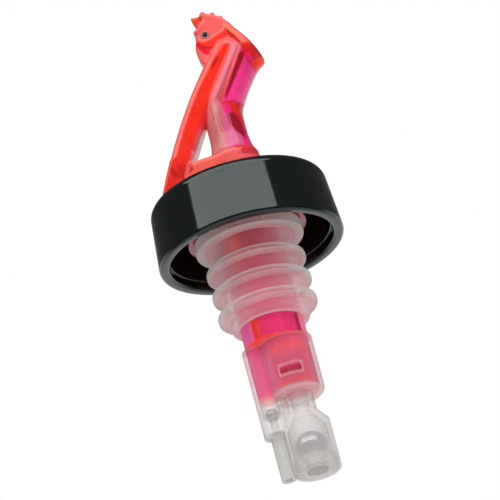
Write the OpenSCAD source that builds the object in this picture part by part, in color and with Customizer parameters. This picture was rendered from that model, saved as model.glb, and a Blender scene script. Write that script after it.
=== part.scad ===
// Measured pourer for a bottle: it gives one fixed serving each time the bottle is tipped.
// Millimetres, +Z up. The origin is on the stopper's axis in the plane of the bottle's lip.
// The metering chamber hangs below it inside the bottle, and the spout stands above it and pours to +X.

/* [Stopper] */
// Diameter over the sealing fins
fin_d = 23.7; // [22.5:0.1:26]
// Number of sealing fins
fin_count = 3; // [2:1:4]
// Distance from one fin to the next
fin_pitch = 5.68; // [4.5:0.01:7]
// Distance from the lip plane down to the first fin
first_fin_drop = 5.7; // [4:0.1:8]
// Thickness of a fin at its rim
fin_rim_t = 1.4; // [1:0.1:2]
// Thickness of a fin at its root
fin_root_t = 2.2; // [1.4:0.1:3]
// Length of plain sleeve below the last fin
sleeve_tail = 3.95; // [2.5:0.05:8]
// Wall of the sleeve between the fins
sleeve_wall = 1.75; // [1.2:0.05:2.2]
// Diameter of the flange that sits on the bottle's lip
lip_flange_d = 25.8; // [24:0.1:28]
// Thickness of that flange
lip_flange_t = 3; // [1.6:0.1:4]

/* [Collar] */
// Diameter of the collar at its rim
collar_d = 44.3; // [41:0.1:52]
// Height of the collar
collar_h = 15.7; // [13:0.1:20]
// How far the rim hangs below the bottle's lip
collar_drop = 1.8; // [0:0.1:3]
// Wall of the collar
collar_wall = 2.6; // [1.5:0.1:2.8]
// Radius that the side loses between the rim and the shoulder
collar_draft = 1.05; // [0.3:0.05:1.6]
// Radius of the rounded shoulder
shoulder_r = 3.4; // [2.8:0.1:5]
// Thickness of the collar's top plate
plate_t = 2.2; // [1.5:0.1:3]
// Wall of the hub that stands on the stem's disc
hub_wall = 2.6; // [1.5:0.1:4]

/* [Balls] */
// Diameter of the shut-off ball and of the check ball
ball_d = 7.94; // [7:0.01:9]
// Diameter of the breather ball
breather_d = 3.175; // [2.8:0.005:3.6]
// Radial running gap around the two large balls
ball_gap = 0.43; // [0.3:0.01:0.7]
// Gap left between a ball and its stop at either end of its travel
seat_gap = 0.15; // [0.1:0.01:0.25]
// Travel of the shut-off ball
shutoff_travel = 6; // [4:0.1:7.5]
// Travel of the check ball
check_travel = 4.6; // [3:0.1:6]
// Travel of the breather ball
breather_travel = 2.3; // [1.2:0.1:3]

/* [Stem] */
// Wall of the shut-off ball's tube
tube_wall = 1.2; // [0.9:0.05:1.6]
// Bore of the liquor passage above the ball's seat
liquor_bore_d = 6.2; // [5:0.1:6.4]
// Bore of the air passage
vent_bore_d = 2.6; // [2:0.1:2.8]
// Wall of the vent stub
stub_wall = 0.85; // [0.7:0.05:1.1]
// Wall between the shut-off ball's bore and the air passage
web_t = 1.3; // [0.8:0.05:2]
// Diameter of the disc that the collar stands on
disc_d = 28.2; // [27:0.1:31]
// Thickness of that disc
disc_t = 1.8; // [1.2:0.1:2.6]
// Length of stem that shows between the stopper and the metering housing
stem_show = 5.1; // [2.5:0.1:8]
// Length of the shut-off ball's tube below the stem
tube_len = 12.1; // [11:0.1:16]
// Length of the vent stub below the stem
stub_len = 13.5; // [11:0.1:17]

/* [Metering housing] */
// Wall of the housing
housing_wall = 0.95; // [0.7:0.05:1.3]
// Thickness of the chamber's floor
floor_t = 1.2; // [0.8:0.1:2]
// Height of the short tube on the floor that the shut-off ball rests on
rest_tube_h = 3.9; // [2:0.1:4.6]
// Bore of the neck between the chamber and the cage
neck_bore_d = 4; // [3:0.1:5]
// Wall of the neck
neck_wall = 1.5; // [0.8:0.05:1.8]
// Length of the neck
neck_len = 4.4; // [2.5:0.1:7]
// Half angle of the cone that the check ball closes
cone_angle = 32.6; // [25:0.1:40]
// Width of the inlet window
window_w = 5.2; // [3:0.1:7]
// Height of the inlet window
window_h = 2.2; // [1.2:0.1:2.6]
// Height of the window's middle above the chamber's floor
window_rise = 3.6; // [2.8:0.1:5]
// Outer diameter of the narrow air tube beside the cage
air_tube_d = 3.5; // [3:0.1:4]
// Bore of the narrow air tube
air_tube_bore_d = 1.8; // [1:0.1:2]
// How far the narrow air tube reaches past the cage
air_tube_tip = 0.5; // [0:0.1:2]
// Thickness of the ring that closes the cage
end_ring_t = 2.8; // [1.6:0.1:3.2]
// Hole in that ring
end_ring_hole_d = 5; // [3.5:0.1:5.6]

/* [Spout] */
// Outer diameter of the pouring channel
channel_d = 8.8; // [8:0.1:10]
// Bore of the pouring channel
channel_bore_d = 5.4; // [4.4:0.1:5.8]
// Height of the saddle above the collar
saddle_h = 9; // [6.5:0.1:11]
// Width of the saddle at the pouring channel
saddle_w = 11.8; // [11.4:0.1:14]
// Width of the saddle at the air leg
saddle_tail_w = 7.4; // [7:0.1:11]
// Height of the channel's knee above the saddle
knee_rise = 12.1; // [9:0.1:18]
// Lean of the upper channel from the vertical
spout_lean = 35; // [28:1:42]
// Length of the upper channel from the knee to the mouth
spout_len = 17.7; // [14:0.1:22]
// How far the mouth faces up from the horizontal
mouth_tilt = 28.4; // [20:0.1:36]
// Thickness of the rim plate round the mouth
rim_t = 2.2; // [1.4:0.1:3]
// How far the rim plate stands out past the channel
rim_lip = 0.5; // [0.2:0.05:1]
// How much further the rim plate reaches at its lip
lip_reach = 0.9; // [0:0.1:2]
// Width of the air leg in the pouring plane
leg_w = 5.4; // [5:0.1:7]
// Thickness of the air leg across the pouring plane
leg_t = 6.4; // [5.2:0.1:8]
// Bend radius of the air leg
leg_bend_r = 140; // [80:1:200]
// Distance along the mouth from the liquor outlet to the air inlet
inlet_step = 4.7; // [4.6:0.1:6]

/* [Rooster head] */
// Radius of the head
head_r = 4; // [3.4:0.1:4.6]
// Thickness of the head
head_t = 5.2; // [4.5:0.1:8]
// Distance along the mouth from the liquor outlet to the middle of the head
head_step = 7.8; // [7.2:0.1:10]
// Radius of the ruff of feathers below the head
ruff_r = 3.6; // [3:0.1:4.2]
// Thickness of the comb and the beak
comb_t = 3; // [1.6:0.1:4]
// Radius of each tooth of the comb
comb_tooth_r = 1; // [0.7:0.05:1.3]
// Diameter of an eye bead
eye_d = 1.1; // [0.9:0.1:2.2]

/* [Fits] */
// Clearance between pieces that are pressed or slid together
fit = 0.05; // [0.03:0.01:0.1]

/* [Hidden] */
$fn = 96;
// overlap of a cut past the face that it opens
cut = 1;
// overlap of two joined shapes of one moulding
weld = 0.4;
// how far the straight sides of a pear outline stay inside the circles that they join
pear_inset = 0.02;

// Balls, tubes and the stem that carries both passages
ball_r = ball_d / 2;
breather_r = breather_d / 2;
tube_bore_r = ball_r + ball_gap;
tube_r = tube_bore_r + tube_wall;
vent_bore_r = vent_bore_d / 2;
stub_r = vent_bore_r + stub_wall;
liquor_bore_r = liquor_bore_d / 2;
tube_edge = 0.3;
stub_edge = 0.05;
bore_spacing = tube_bore_r + web_t + vent_bore_r;
stem_r = (stub_edge + stub_r + bore_spacing + tube_r + tube_edge) / 2;
liquor_x = stem_r - tube_edge - tube_r;
vent_x = liquor_x - bore_spacing;

// Stopper
sleeve_bore_r = stem_r + fit;
sleeve_r = sleeve_bore_r + sleeve_wall;
stopper_bottom_z = -(first_fin_drop + (fin_count - 1) * fin_pitch + sleeve_tail);
fin_tip_r = 0.3;
flange_edge_r = 0.6;
tail_edge_r = 0.8;

// Collar and disc
disc_top_z = lip_flange_t + disc_t;
collar_bottom_z = -collar_drop;
collar_top_z = collar_h - collar_drop;
collar_r = collar_d / 2;
collar_flat_r = collar_r - collar_draft - shoulder_r;
hub_bore_r = stem_r + fit;
hub_r = hub_bore_r + hub_wall;
collar_step = 0.3;
collar_step_rise = 2.4;
corner_r = 1.4;

// Levels below the lip plane, from the stem's shoulder down to the end of the cage
shoulder_z = stopper_bottom_z - stem_show;
housing_top_z = shoulder_z - fit;
tube_end_z = shoulder_z - tube_len;
stub_end_z = shoulder_z - stub_len;
tube_end_gap = 0.6;
floor_z = tube_end_z - tube_end_gap;
chamber_bottom_z = floor_z - floor_t;
neck_bore_r = neck_bore_d / 2;
rest_tube_z = floor_z + rest_tube_h;
rest_tube_wall = 0.8;
rest_tube_r = neck_bore_r + rest_tube_wall;
neck_r = neck_bore_r + neck_wall;
neck_end_z = chamber_bottom_z - neck_len;
chamber_r = tube_r + fit + housing_wall;
socket_r = stub_r + fit + housing_wall;
cage_wall = housing_wall;
cage_room = 0.35;
cage_bore_r = ball_r + ball_gap + cage_room;
cage_r = cage_bore_r + cage_wall;
end_ring_hole_r = end_ring_hole_d / 2;
window_z = floor_z + window_rise;
window_frame = 0.6;
window_frame_t = 0.25;

// Height of a ball's middle above a round edge of radius r that carries it
function perch(rb, r) = sqrt(rb * rb - r * r);
// Distance from the narrow end of a cone of half angle a to the middle of a ball that touches it
function cone_reach(rb, r, a) = (rb * cos(a) - r) / tan(a) + rb * sin(a);

// Shut-off ball: rests on the short tube, rises to the cone below the liquor passage
shutoff_rest_z = rest_tube_z + perch(ball_r, neck_bore_r) + seat_gap;
seat_angle = 33;
shutoff_top_z = shutoff_rest_z + shutoff_travel;
shutoff_cone_top_z = shutoff_top_z + seat_gap + cone_reach(ball_r, liquor_bore_r, seat_angle);
shutoff_cone_h = (tube_bore_r - liquor_bore_r) / tan(seat_angle);

// Check ball: rests on the end ring, rises to the cone below the neck
check_cone_h = (cage_bore_r - neck_bore_r) / tan(cone_angle);
check_cone_top_z = neck_end_z;
check_rest_z = check_cone_top_z - cone_reach(ball_r, neck_bore_r, cone_angle) - seat_gap - check_travel;
end_ring_top_z = check_rest_z - seat_gap - perch(ball_r, end_ring_hole_r);
cage_bottom_z = end_ring_top_z - end_ring_t;
cage_top_z = check_cone_top_z - check_cone_h;
end_ring_ledge = 0.35;
end_ring_r = cage_bore_r + end_ring_ledge;
cage_rise = 1.35;
bleed_w = 0.8;
bleed_len = 3;

// Breather ball: rests on the cone of the air passage, rises to the end of the vent stub
air_tube_r = air_tube_d / 2;
air_tube_bore_r = air_tube_bore_d / 2;
air_tube_end_z = cage_bottom_z - air_tube_tip;
socket_bore_r = stub_r + fit;
breather_angle = 45;
breather_rest_z = stub_end_z - perch(breather_r, vent_bore_r) - seat_gap - breather_travel;
breather_cone_end_z = breather_rest_z - seat_gap - cone_reach(breather_r, air_tube_bore_r, breather_angle);
breather_cone_top_z = breather_cone_end_z + (socket_bore_r - air_tube_bore_r) / tan(breather_angle);
socket_floor_t = 4;
socket_end_z = breather_cone_end_z - socket_floor_t;

// Spout: knee, mouth and the leg's arc, all in the XZ plane
channel_r = channel_d / 2;
channel_bore_r = channel_bore_d / 2;
saddle_top_z = collar_top_z + saddle_h;
saddle_margin = 0.2;
saddle_left_x = -(collar_flat_r - saddle_margin);
saddle_r = saddle_w / 2;
saddle_tail_r = saddle_tail_w / 2;
spigot_len = 4;
spigot_wall = 1.2;
spigot_r = channel_bore_r + spigot_wall;
knee = [liquor_x, saddle_top_z + knee_rise];
knee_swell = 0.06;
spout_dir = [sin(spout_lean), cos(spout_lean)];
mouth = knee + spout_len * spout_dir;
mouth_out = [cos(mouth_tilt), sin(mouth_tilt)];
mouth_down = [sin(mouth_tilt), -cos(mouth_tilt)];
rim_r = channel_r + rim_lip;
rim_top_r = 3.2;
rim_top_gap = 2.6;
rim_top_step = head_step - rim_top_gap;
leg_inset = 4.8;
leg_sink = 3.4;
leg_foot = [saddle_left_x + leg_inset, saddle_top_z - leg_sink];
leg_top = mouth - inlet_step * mouth_down;
leg_edge_r = 1.6;
groove_w = 3;
groove_h = 3.5;
flare = 1.4;
flare_h = 5;

// Middle of the circle of radius r through a and b, on the right of the way from a to b
function arc_middle(a, b, r) = let (d = b - a, l = norm(d)) (a + b) / 2
    + [d[1], -d[0]] / l * sqrt(r * r - l * l / 4);
// Angle of point p about m
function bearing(m, p) = atan2(p[1] - m[1], p[0] - m[0]);
// Points of an arc about m from angle a to angle b
function arc(m, r, a, b, n = 8) = [for (i = [0:n]) let (t = a + (b - a) * i / n) m + r * [cos(t), sin(t)]];
// A point of the mouth's frame: along the mouth towards the lip, and out of the mouth
function at_mouth(along, out) = mouth + along * mouth_down + out * mouth_out;

leg_mid = arc_middle(leg_foot, leg_top, leg_bend_r);
leg_foot_a = bearing(leg_mid, leg_foot);
leg_top_a = bearing(leg_mid, leg_top);
leg_overrun_a = 2;

// Head: round skull behind the mouth's upper end, ruff below it, beak and comb on top
skull = at_mouth(-head_step, -head_r);
ruff = skull + [-0.9, -4.3];
beak_tip = skull + [-4.5, 5.8];
eye = skull + [-2.1, -0.5];
eye_r = eye_d / 2;
eye_sink = 0.25;
beak_low_a = 30;
beak_high_a = 75;
wattle_r = 0.9;
comb_first_a = 101;
comb_step_a = 26;
comb_reach = head_r + 1.6;
comb_fall = 0.6;
comb_count = 3;

// Shared shapes

// A round bar about the Z axis through x
module rod(x, r, z0, z1) {
    translate([x, 0, z0]) cylinder(r = r, h = z1 - z0);
}

// A cone about the Z axis through x
module cone(x, r0, z0, r1, z1) {
    translate([x, 0, z0]) cylinder(r1 = r0, r2 = r1, h = z1 - z0);
}

// A rectangle with round corners, middle on the origin
module round_rect(w, h, r) {
    square([w - 2 * r, h], center = true);
    square([w, h - 2 * r], center = true);
    for (x = [-1, 1], y = [-1, 1]) translate([x * (w / 2 - r), y * (h / 2 - r)]) circle(r);
}

// Two circles and the sides that touch both; the second lies at distance d along -X
module pear(r0, r1, d) {
    tangent_a = acos((r1 - r0) / d);
    touch = [cos(tangent_a), sin(tangent_a)];
    mirrored = [touch[0], -touch[1]];
    side0 = r0 - pear_inset;
    side1 = r1 - pear_inset;
    circle(r0);
    translate([-d, 0]) circle(r1);
    polygon([side0 * touch, [-d, 0] + side1 * touch, [-d, 0] + side1 * mirrored, side0 * mirrored]);
}

// A flat shape drawn in the pouring plane, given thickness t across it
module across(t) {
    rotate([90, 0, 0]) linear_extrude(t, center = true) children();
}

// A section swept along the arc of radius r about m, from bearing a up to bearing b
module sweep(m, r, a, b) {
    translate([m[0], 0, m[1]]) rotate([90, 0, 0]) rotate([0, 0, a])
        rotate_extrude(angle = b - a, $fn = 180) translate([r, 0]) children();
}

// A shape set at the mouth, its Z pointing out of the mouth and its X towards the lip
module on_mouth() {
    translate([mouth[0], 0, mouth[1]]) rotate([0, 90 - mouth_tilt, 0]) children();
}

// The way of the pouring channel from z0 over the round knee and past the mouth, with radius r
module channel_run(r, z0, past) {
    rod(liquor_x, r, z0, knee[1]);
    translate([knee[0], 0, knee[1]]) {
        sphere(r + knee_swell);
        rotate([0, spout_lean, 0]) cylinder(r = r, h = spout_len + past);
    }
}

// Sub-parts

// Upper moulding: saddle, pouring channel, air leg, rim plate and head
module spout_top() {
    color("#f0403c") difference() {
        union() {
            saddle();
            difference() {
                union() {
                    channel_run(channel_r, saddle_top_z - weld, channel_r);
                    sweep(leg_mid, leg_bend_r, leg_top_a - leg_overrun_a, leg_foot_a)
                        round_rect(leg_w, leg_t, leg_edge_r);
                }
                on_mouth() translate([-head_step * 2, -saddle_w, 0])
                    cube([head_step * 4, saddle_w * 2, head_step * 2]);
            }
            cone(liquor_x, channel_r + flare, saddle_top_z - weld, channel_r, saddle_top_z + flare_h);
            on_mouth() translate([0, 0, -rim_t]) linear_extrude(rim_t) rim_outline();
            head();
            rod(liquor_x, spigot_r, collar_top_z - spigot_len, collar_top_z + weld);
        }
        channel_run(channel_bore_r, collar_top_z - spigot_len - cut, channel_r);
        sweep(leg_mid, leg_bend_r, leg_top_a - leg_overrun_a, leg_foot_a + leg_overrun_a) circle(vent_bore_r);
        air_groove();
        eye_places() sphere(eye_r + fit);
    }
}

// Block under the leg and the channel; its left end follows the outside of the leg
module saddle() {
    intersection() {
        translate([liquor_x, 0, collar_top_z]) linear_extrude(saddle_h)
            pear(saddle_r, saddle_tail_r, liquor_x - saddle_left_x - saddle_tail_r);
        translate([leg_mid[0], 0, leg_mid[1]]) rotate([90, 0, 0])
            cylinder(r = leg_bend_r + leg_w / 2, h = saddle_w * 2, center = true, $fn = 180);
    }
}

// Outline of the rim plate in the mouth's plane: wide and low at the lip, narrow at the head
module rim_outline() {
    translate([lip_reach, 0]) pear(rim_r, rim_top_r, rim_top_step + lip_reach);
}

// Groove in the saddle's underside that leads air from the leg to the stem's vent
module air_groove() {
    groove_left = leg_foot[0] - groove_w;
    groove_right = vent_x + vent_bore_r;
    translate([groove_left, -groove_w / 2, collar_top_z - cut])
        cube([groove_right - groove_left, groove_w, groove_h + cut]);
}

// Rooster head in the pouring plane
module head() {
    across(head_t) {
        translate(skull) circle(head_r);
        translate(ruff) circle(ruff_r);
        polygon([skull + [-head_r, 0], ruff + [-ruff_r, 0], ruff + [0, -ruff_r], leg_top,
                 skull + [head_r, 0]]);
        translate(skull + [-head_r + wattle_r / 2, wattle_r]) circle(wattle_r);
    }
    across(comb_t) {
        polygon([beak_tip, skull + head_r * [-cos(beak_low_a), sin(beak_low_a)], skull,
                 skull + head_r * [-cos(beak_high_a), 1]]);
        for (i = [0:comb_count - 1]) {
            tooth_a = comb_first_a - comb_step_a * i;
            translate(skull + (comb_reach - comb_fall * i - comb_tooth_r) * [cos(tooth_a), sin(tooth_a)])
                circle(comb_tooth_r);
        }
    }
}

// The two eye sockets
module eye_places() {
    for (side = [-1, 1]) translate([eye[0], side * (head_t / 2 - eye_sink), eye[1]]) children();
}

module eye_beads() {
    color("#141414") eye_places() sphere(eye_r);
}

// Inverted cup with a hub that stands on the stem's disc
module collar() {
    rim_edge_r = collar_wall / 2;
    wall_in_r = collar_r - collar_wall;
    step_in_r = wall_in_r - collar_step;
    plate_z = collar_top_z - plate_t;
    color("#15181a") rotate_extrude() polygon(concat(
        [[hub_bore_r, disc_top_z], [hub_bore_r, collar_top_z]],
        arc([collar_flat_r, collar_top_z - shoulder_r], shoulder_r, 90, 0, 12),
        arc([collar_r - rim_edge_r, collar_bottom_z + rim_edge_r], rim_edge_r, 0, -180, 14),
        [[wall_in_r, collar_bottom_z + collar_step_rise], [step_in_r, collar_bottom_z + collar_step_rise]],
        arc([collar_flat_r, plate_z - corner_r], corner_r, 0, 90),
        [[hub_r, plate_z], [hub_r, disc_top_z]]));
}

// Lower moulding: disc, stem, shut-off ball's tube and vent stub, with both passages
module stem() {
    color("#e8326e") difference() {
        union() {
            rod(0, stem_r, shoulder_z, collar_top_z);
            rod(0, disc_d / 2, lip_flange_t, disc_top_z);
            rod(liquor_x, tube_r, tube_end_z, shoulder_z + weld);
            rod(vent_x, stub_r, stub_end_z, shoulder_z + weld);
        }
        rod(liquor_x, liquor_bore_r, shutoff_cone_top_z - cut, collar_top_z + cut);
        rod(liquor_x, spigot_r + fit, collar_top_z - spigot_len - fit, collar_top_z + cut);
        cone(liquor_x, tube_bore_r, shutoff_cone_top_z - shutoff_cone_h, liquor_bore_r, shutoff_cone_top_z);
        rod(liquor_x, tube_bore_r, tube_end_z - cut, shutoff_cone_top_z - shutoff_cone_h);
        rod(vent_x, vent_bore_r, stub_end_z - cut, collar_top_z + cut);
        window_slot();
    }
}

// The inlet window's way in from the front, through the housing and the tube
module window_slot() {
    translate([liquor_x, -chamber_r - cut, window_z]) rotate([-90, 0, 0])
        linear_extrude(chamber_r + cut - rest_tube_r - fit)
            round_rect(window_w, window_h, window_h / 4);
}

// Soft finned plug that grips the stem and seals the bottle
module stopper() {
    flange_r = lip_flange_d / 2;
    fin_r = fin_d / 2;
    color("#d8cfcd") rotate_extrude() {
        polygon(concat(
            [[sleeve_bore_r, lip_flange_t], [sleeve_bore_r, stopper_bottom_z]],
            arc([sleeve_r - tail_edge_r, stopper_bottom_z + tail_edge_r], tail_edge_r, -90, 0, 5),
            [[sleeve_r, 0]],
            arc([flange_r - flange_edge_r, flange_edge_r], flange_edge_r, -90, 0, 5),
            arc([flange_r - flange_edge_r, lip_flange_t - flange_edge_r], flange_edge_r, 0, 90, 5)));
        for (i = [0:fin_count - 1]) translate([0, -first_fin_drop - i * fin_pitch]) polygon(concat(
            [[sleeve_r - weld, -fin_root_t / 2]],
            arc([fin_r - fin_tip_r, -fin_rim_t / 2 + fin_tip_r], fin_tip_r, -90, 0, 4),
            arc([fin_r - fin_tip_r, fin_rim_t / 2 - fin_tip_r], fin_tip_r, 0, 90, 4),
            [[sleeve_r - weld, fin_root_t / 2]]));
    }
}

// Clear moulding: metering chamber, air socket, neck, cone and ball cage
module metering_housing() {
    bottom_edge_r = 1.1;
    color("#e2dcdc") difference() {
        union() {
            translate([liquor_x, 0, 0]) rotate_extrude() polygon(concat(
                [[0, housing_top_z], [0, chamber_bottom_z]],
                arc([chamber_r - bottom_edge_r, chamber_bottom_z + bottom_edge_r], bottom_edge_r, -90, 0, 6),
                [[chamber_r, housing_top_z]]));
            rod(vent_x, socket_r, socket_end_z, housing_top_z);
            rod(vent_x, air_tube_r, air_tube_end_z, socket_end_z + weld);
            rod(liquor_x, neck_r, neck_end_z - weld, chamber_bottom_z + weld);
            cone(liquor_x, cage_r, cage_top_z + cage_rise, neck_r, neck_end_z);
            rod(liquor_x, cage_r, cage_bottom_z, cage_top_z + cage_rise);
            neck_web();
            window_frame();
        }
        chamber_space();
        rod(liquor_x, neck_bore_r, check_cone_top_z - cut, rest_tube_z + cut);
        cone(liquor_x, cage_bore_r, cage_top_z, neck_bore_r, check_cone_top_z);
        rod(liquor_x, cage_bore_r, cage_bottom_z - cut, cage_top_z);
        rod(liquor_x, end_ring_r + fit, cage_bottom_z - cut, end_ring_top_z + fit);
        bleed_groove();
        rod(vent_x, socket_bore_r, breather_cone_top_z, housing_top_z + cut);
        cone(vent_x, air_tube_bore_r, breather_cone_end_z, socket_bore_r, breather_cone_top_z);
        rod(vent_x, air_tube_bore_r, air_tube_end_z - cut, breather_cone_end_z + weld);
        window_slot();
    }
}

// Groove along the cone that lets liquor creep past the check ball and so times the serving
module bleed_groove() {
    contact_r = ball_r * cos(cone_angle);
    contact_z = check_cone_top_z - (contact_r - neck_bore_r) / tan(cone_angle);
    translate([liquor_x, contact_r, contact_z]) rotate([cone_angle, 0, 0])
        cube([bleed_w, bleed_w, bleed_len], center = true);
}

// Inside of the metering chamber, with the short tube that the shut-off ball rests on
module chamber_space() {
    difference() {
        rod(liquor_x, tube_r + fit, floor_z, housing_top_z + cut);
        rod(liquor_x, rest_tube_r, floor_z - cut, rest_tube_z);
    }
}

// Thin wall that ties the neck to the air socket
module neck_web() {
    web_depth = 2.4;
    web_h = chamber_bottom_z + weld - socket_end_z;
    translate([vent_x, -web_depth / 2, socket_end_z]) cube([bore_spacing, web_depth, web_h]);
}

// Raised border round the inlet window
module window_frame() {
    intersection() {
        rod(liquor_x, chamber_r + window_frame_t, chamber_bottom_z, housing_top_z);
        translate([liquor_x, -chamber_r - cut, window_z]) rotate([-90, 0, 0]) linear_extrude(chamber_r)
            round_rect(window_w + 2 * window_frame, window_h + 2 * window_frame, window_h / 2);
    }
}

// Ring pressed into the cage after the check ball
module cage_end_ring() {
    color("#d6dadb") translate([liquor_x, 0, cage_bottom_z]) difference() {
        cylinder(r = end_ring_r, h = end_ring_t);
        translate([0, 0, -cut]) cylinder(r = end_ring_hole_r, h = end_ring_t + 2 * cut);
    }
}

module shutoff_ball() {
    color("#8d9194") translate([liquor_x, 0, shutoff_rest_z]) sphere(ball_r);
}

module check_ball() {
    color("#a9adb0") translate([liquor_x, 0, check_rest_z]) sphere(ball_r);
}

module breather_ball() {
    color("#a9adb0") translate([vent_x, 0, breather_rest_z]) sphere(breather_r);
}

spout_top();
eye_beads();
collar();
stem();
stopper();
metering_housing();
cage_end_ring();
shutoff_ball();
check_ball();
breather_ball();
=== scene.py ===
"""Looks of the measured pourer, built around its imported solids. Metres, +Z up, pouring to +X."""
import math

import bmesh
import bpy
import numpy as np
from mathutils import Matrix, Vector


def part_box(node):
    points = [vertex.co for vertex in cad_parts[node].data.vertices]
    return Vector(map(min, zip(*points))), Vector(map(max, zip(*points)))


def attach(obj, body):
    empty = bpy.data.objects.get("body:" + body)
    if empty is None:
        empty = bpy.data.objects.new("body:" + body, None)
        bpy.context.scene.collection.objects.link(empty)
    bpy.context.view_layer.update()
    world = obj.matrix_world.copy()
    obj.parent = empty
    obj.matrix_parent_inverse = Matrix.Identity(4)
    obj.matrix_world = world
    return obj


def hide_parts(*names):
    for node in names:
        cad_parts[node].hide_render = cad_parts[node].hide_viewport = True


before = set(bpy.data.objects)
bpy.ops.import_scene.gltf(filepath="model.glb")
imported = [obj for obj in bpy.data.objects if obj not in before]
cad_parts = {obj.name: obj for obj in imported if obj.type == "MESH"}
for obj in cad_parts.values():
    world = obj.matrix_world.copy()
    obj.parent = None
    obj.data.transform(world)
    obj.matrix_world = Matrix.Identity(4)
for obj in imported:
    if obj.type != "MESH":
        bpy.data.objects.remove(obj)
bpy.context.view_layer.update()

import openvdb
from mathutils import Matrix, Vector

MM = 0.001
FAR = 1e9
scene = bpy.context.scene


def box_mm(node):
    """Lowest and highest corner of a node, in millimetres."""
    low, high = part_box(node)
    return np.array(low) / MM, np.array(high) / MM


# Places and sizes in millimetres; what a node's box gives comes from the frame. Points and outlines of the
# upper moulding are of x and z, seen from the window's side.

collar_low, collar_high = box_mm("collar")
stopper_low, stopper_high = box_mm("stopper")
spout_low, spout_high = box_mm("spout_top")
COLLAR_TOP = collar_high[2]
COLLAR_R = min(*collar_high[:2], *(-v for v in collar_low[:2]))
STEM_BORE_R = 7.6
DISC_T = 1.8  # the stem's disc, under the collar
FIN_LEVELS = (-17.06, -11.38, -5.7)
LIQUOR_X = sum(v[0] for v in box_mm("check_ball")) / 2
VENT_X = sum(v[0] for v in box_mm("breather_ball")) / 2
WINDOW_Z = -35.21

# saddle, and the channel from its spigot in the stem round the knee to the mouth
SPIGOT_BOTTOM = spout_low[2]
SPIGOT_R = 3.9
SADDLE_TOP = COLLAR_TOP + 9.0
SADDLE_R = 5.4
SADDLE_TAIL_R = 2.9
SADDLE_LEFT = -17.5
SADDLE_EDGE = 1.0
CHANNEL_R = 4.5
CHANNEL_BORE_R = 2.7
FLARE = 1.15
FLARE_TOP = SADDLE_TOP + 5.6
FLARE_H = 6
WAIST = 0.4
KNEE = np.array([LIQUOR_X, SADDLE_TOP + 12.1])
BEND_R = 9.0
LEAN = math.radians(35)
SPOUT_DIR = np.array([math.sin(LEAN), math.cos(LEAN)])

# mouth and its rim
MOUTH = KNEE + 17.7 * SPOUT_DIR
MOUTH_TILT = math.radians(28.4)
MOUTH_OUT = np.array([math.cos(MOUTH_TILT), math.sin(MOUTH_TILT)])
MOUTH_DOWN = np.array([math.sin(MOUTH_TILT), -math.cos(MOUTH_TILT)])
RIM_R = 4.9
RIM_TOP_R = 3.2
RIM_TOP_STEP = 5.2
RIM_T = 2.2
RIM_THINNING = 0.5
RIM_EDGE = 0.55
LIP_REACH = 0.9
LIP_BULGE = 1.0

# air leg and the round top end of its front, the arch
LEG_W = 5.4
LEG_T = 6.4
LEG_SWELL = 0.3
LEG_EDGE = 1.25
FOOT_EDGE = 0.45
LEG_BEND_R = 140
LEG_BORE_R = 1.3
LEG_LEFT = -22
LEG_FOOT = np.array([SADDLE_LEFT + 4.8, SADDLE_TOP - 3.4])
LEG_TOP = MOUTH - 4.7 * MOUTH_DOWN
SADDLE_END = -2.2  # from the leg's middle line
ARCH = np.array([7.1, 48.0])
ARCH_SHIFT = 0.7
ARCH_WIDER = 0.4
GROOVE_LEFT, GROOVE_RIGHT = LEG_FOOT[0] - 3, VENT_X + 1.3
GROOVE_W, GROOVE_H = 3.0, 3.5

# rooster's head
HEAD_R = 4.0
HEAD_T = 5.2
HEAD_EDGE = 0.6
HACKLE_STEPS = (0.12, -0.45, -0.35)  # added to half the thickness below each feather edge
SKULL = MOUTH - 7.8 * MOUTH_DOWN - HEAD_R * MOUTH_OUT
RUFF, RUFF_R = SKULL + [-2.35, -3.25], 2.72
LOW_RUFF, LOW_RUFF_R = SKULL + [-2.4, -5.55], 2.45
WATTLE, WATTLE_R = SKULL + [-3.9, 0.8], 0.7
NECK = [SKULL - [HEAD_R, 0], RUFF - [RUFF_R, 0], LOW_RUFF - [LOW_RUFF_R, 0], LOW_RUFF - [0, LOW_RUFF_R],
        LEG_TOP, SKULL + [HEAD_R, 0]]
BEAK = SKULL + [[-4.4, 5.5], [-4.1, 3.8], [-3.5, 2.2], [-1.4, 2.3], [-1.9, 5.0], [-2.9, 5.15]]
BEAK_TIP = BEAK[0]
BEAK_T = 3.0
BEAK_TIP_T = 1.6
BEAK_EDGE = 0.3
CREST = SKULL + [[-2.4, 5.0], [-1.4, 5.2], [-0.4, 4.8], [0.8, 4.3], [1.8, 3.5], [2.6, 2.7], [3.1, 1.7],
                 [0, 0]]
CREST_BUMPS = SKULL + [[-1.45, 5.1], [0.75, 4.35], [2.4, 2.95]]
BUMP_R = 0.55
EYE = SKULL + [-2.1, -0.5]
EYE_R = 0.55
EYE_SINK = 0.25
EYE_GAP = 0.05
EYE_RING_R = 0.78
EYE_RING_T = 0.4

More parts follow.
